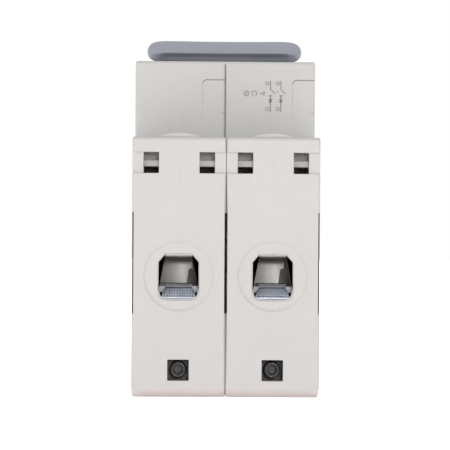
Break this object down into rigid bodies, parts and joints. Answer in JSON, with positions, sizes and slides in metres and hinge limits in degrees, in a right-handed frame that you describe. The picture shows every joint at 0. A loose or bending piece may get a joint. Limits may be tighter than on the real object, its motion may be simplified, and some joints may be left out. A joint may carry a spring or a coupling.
{
  "type": "circuit breaker",
  "caption": "Rail-mounted miniature circuit breaker: ganged poles with a common toggle, cage-clamp screw terminals, hollow shells round a trip mechanism, and sprung rail latches.",
  "frame": {"origin": "centre of the footprint, in the plane of the back lands that stand against the panel", "axes": "+X across the poles, +Y from the line terminals to the load terminals, +Z from the rail side up to the toggle"},
  "size_m": [0.0356, 0.082, 0.0711],
  "materials": {
    "shell": "light warm grey moulded plastic, fine matt texture",
    "handle": "blue-grey moulded plastic, satin",
    "black": "black glass-filled plastic, satin",
    "amber": "tan moulded plastic, matt",
    "zinc": "blue-passivated zinc plate on steel",
    "steel": "bright mild steel",
    "copper": "bare copper with silver contact pads",
    "nickel": "tinned or nickel-plated strip"
  },
  "bodies": {
    "housing": {"left_base": "shell", "left_cover": "shell", "left_toggle_spring": "steel", "left_carrier_pin": "steel", "left_contact_spring": "steel", "left_braid": "copper", "left_coil": "copper", "left_yoke": "steel", "left_bimetal": "nickel", "left_arc_chute": "steel", "left_line_strip": "nickel", "left_fixed_contact": "copper", "left_load_strip": "nickel", "right_base": "shell", "right_cover": "shell", "right_toggle_spring": "steel", "right_carrier_pin": "steel", "right_contact_spring": "steel", "right_braid": "copper", "right_coil": "copper", "right_yoke": "steel", "right_bimetal": "nickel", "right_arc_chute": "steel", "right_line_strip": "nickel", "right_fixed_contact": "copper", "right_load_strip": "nickel", "rivet_1": "nickel", "rivet_2": "nickel", "rivet_3": "nickel", "rivet_4": "nickel", "rivet_5": "nickel", "rivet_6": "nickel"},
    "toggle": {"handle_cap": "handle", "left_toggle_lever": "handle", "right_toggle_lever": "handle"},
    "trip": {"trip_bar": "amber", "left_trip_lever": "amber", "right_trip_lever": "amber"},
    "left_link_body": {"left_link": "steel"},
    "right_link_body": {"right_link": "steel"},
    "left_contact_body": {"left_carrier": "black", "left_latch": "steel", "left_contact_arm": "copper"},
    "right_contact_body": {"right_carrier": "black", "right_latch": "steel", "right_contact_arm": "copper"},
    "left_plunger_body": {"left_plunger": "steel"},
    "right_plunger_body": {"right_plunger": "steel"},
    "left_line_screw_body": {"left_line_screw": "zinc"},
    "left_line_cage_body": {"left_line_cage": "zinc"},
    "left_load_screw_body": {"left_load_screw": "zinc"},
    "left_load_cage_body": {"left_load_cage": "zinc"},
    "right_line_screw_body": {"right_line_screw": "zinc"},
    "right_line_cage_body": {"right_line_cage": "zinc"},
    "right_load_screw_body": {"right_load_screw": "zinc"},
    "right_load_cage_body": {"right_load_cage": "zinc"},
    "left_rail_latch_body": {"left_rail_latch": "black"},
    "right_rail_latch_body": {"right_rail_latch": "black"}
  },
  "joints": [
    {"name": "toggle_hinge", "type": "hinge", "parent": "housing", "child": "toggle", "pos_m": [0, 0, 0.0555], "axis": [1, 0, 0], "range_deg": [-60, 0], "deforming": ["left_toggle_spring", "right_toggle_spring"]},
    {"name": "left_link_pivot", "type": "hinge", "parent": "toggle", "child": "left_link_body", "pos_m": [-0.00893, -0.00049, 0.05947], "axis": [1, 0, 0], "range_deg": [0, 39.6]},
    {"name": "right_link_pivot", "type": "hinge", "parent": "toggle", "child": "right_link_body", "pos_m": [0.00893, -0.00049, 0.05947], "axis": [1, 0, 0], "range_deg": [0, 39.6]},
    {"name": "left_contact_pivot", "type": "hinge", "parent": "housing", "child": "left_contact_body", "pos_m": [-0.00893, 0.008, 0.038], "axis": [1, 0, 0], "range_deg": [0, 14.1], "deforming": ["left_contact_spring", "left_braid"]},
    {"name": "right_contact_pivot", "type": "hinge", "parent": "housing", "child": "right_contact_body", "pos_m": [0.00893, 0.008, 0.038], "axis": [1, 0, 0], "range_deg": [0, 14.1], "deforming": ["right_contact_spring", "right_braid"]},
    {"name": "trip_hinge", "type": "hinge", "parent": "housing", "child": "trip", "pos_m": [0, -0.0075, 0.0415], "axis": [1, 0, 0], "range_deg": [0, 6], "stiffness_Nm_per_rad": 0.05, "springref_deg": -11.46},
    {"name": "left_plunger_slide", "type": "slide", "parent": "housing", "child": "left_plunger_body", "axis": [0, 1, 0], "range_m": [0, 0.0012], "stiffness_N_per_m": 150, "springref_m": -0.0008},
    {"name": "right_plunger_slide", "type": "slide", "parent": "housing", "child": "right_plunger_body", "axis": [0, 1, 0], "range_m": [0, 0.0012], "stiffness_N_per_m": 150, "springref_m": -0.0008},
    {"name": "left_line_screw_turn", "type": "hinge", "parent": "housing", "child": "left_line_screw_body", "pos_m": [-0.00893, -0.0338, 0.041], "axis": [0, 0, 1], "range_deg": [-1801, 0]},
    {"name": "left_line_cage_lift", "type": "slide", "parent": "housing", "child": "left_line_cage_body", "axis": [0, 0, 1], "range_m": [0, 0.004]},
    {"name": "left_load_screw_turn", "type": "hinge", "parent": "housing", "child": "left_load_screw_body", "pos_m": [-0.00893, 0.0338, 0.041], "axis": [0, 0, 1], "range_deg": [-1801, 0]},
    {"name": "left_load_cage_lift", "type": "slide", "parent": "housing", "child": "left_load_cage_body", "axis": [0, 0, 1], "range_m": [0, 0.004]},
    {"name": "right_line_screw_turn", "type": "hinge", "parent": "housing", "child": "right_line_screw_body", "pos_m": [0.00893, -0.0338, 0.041], "axis": [0, 0, 1], "range_deg": [-1801, 0]},
    {"name": "right_line_cage_lift", "type": "slide", "parent": "housing", "child": "right_line_cage_body", "axis": [0, 0, 1], "range_m": [0, 0.004]},
    {"name": "right_load_screw_turn", "type": "hinge", "parent": "housing", "child": "right_load_screw_body", "pos_m": [0.00893, 0.0338, 0.041], "axis": [0, 0, 1], "range_deg": [-1801, 0]},
    {"name": "right_load_cage_lift", "type": "slide", "parent": "housing", "child": "right_load_cage_body", "axis": [0, 0, 1], "range_m": [0, 0.004]},
    {"name": "left_rail_latch_slide", "type": "slide", "parent": "housing", "child": "left_rail_latch_body", "axis": [0, -1, 0], "range_m": [0, 0.0025], "stiffness_N_per_m": 2000, "springref_m": -0.001},
    {"name": "right_rail_latch_slide", "type": "slide", "parent": "housing", "child": "right_rail_latch_body", "axis": [0, -1, 0], "range_m": [0, 0.0025], "stiffness_N_per_m": 2000, "springref_m": -0.001}
  ],
  "couplings": [
    {"joint": "left_link_pivot", "follows": "toggle_hinge", "ratio": -0.6569},
    {"joint": "right_link_pivot", "follows": "toggle_hinge", "ratio": -0.6569},
    {"joint": "left_contact_pivot", "follows": "toggle_hinge", "ratio": -0.23333},
    {"joint": "right_contact_pivot", "follows": "toggle_hinge", "ratio": -0.23333},
    {"joint": "left_line_screw_turn", "follows": "left_line_cage_lift", "rad_per_m": -7854},
    {"joint": "left_load_screw_turn", "follows": "left_load_cage_lift", "rad_per_m": -7854},
    {"joint": "right_line_screw_turn", "follows": "right_line_cage_lift", "rad_per_m": -7854},
    {"joint": "right_load_screw_turn", "follows": "right_load_cage_lift", "rad_per_m": -7854}
  ]
}
